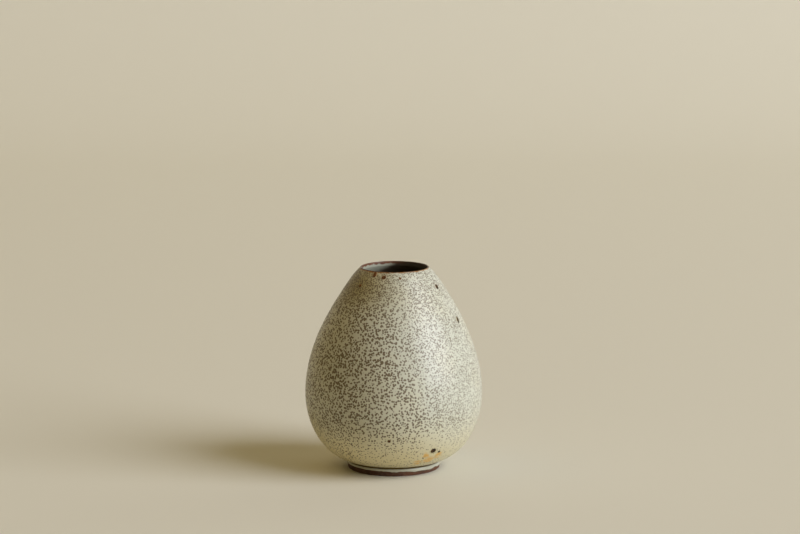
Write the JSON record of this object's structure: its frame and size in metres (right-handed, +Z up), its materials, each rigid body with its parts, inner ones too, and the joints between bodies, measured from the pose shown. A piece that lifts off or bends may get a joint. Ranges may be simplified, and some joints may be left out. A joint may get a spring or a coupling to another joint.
{
  "type": "ceramic bud vase",
  "caption": "Squat teardrop stoneware bud vase with a speckled satin glaze, a narrow rust-coloured lip and a turned foot ring; holds water and a few short stems.",
  "frame": {"origin": "middle of the foot ring, on the plane that the vase stands on", "axes": "+Z up along the vase's axis, out of its mouth; -Y is the side seen in the reference view; +X is to that view's right"},
  "size_m": [0.0872, 0.0872, 0.1],
  "materials": {
    "stoneware": "bare, fine sandy, fired brown",
    "speckled_glaze": "satin, grey-green cream with brown-grey speckle",
    "pale_glaze": "gloss, pale green-white",
    "liner_glaze": "satin, grey-white",
    "rust_glaze": "thin satin, rust brown",
    "iron_spot": "gloss, dark brown, pitted"
  },
  "bodies": {
    "root": {"clay_body": "stoneware", "body_glaze": "speckled_glaze", "foot_glaze": "pale_glaze", "liner_glaze": "liner_glaze", "rim_glaze": "rust_glaze", "iron_spots": "iron_spot"}
  },
  "joints": []
}
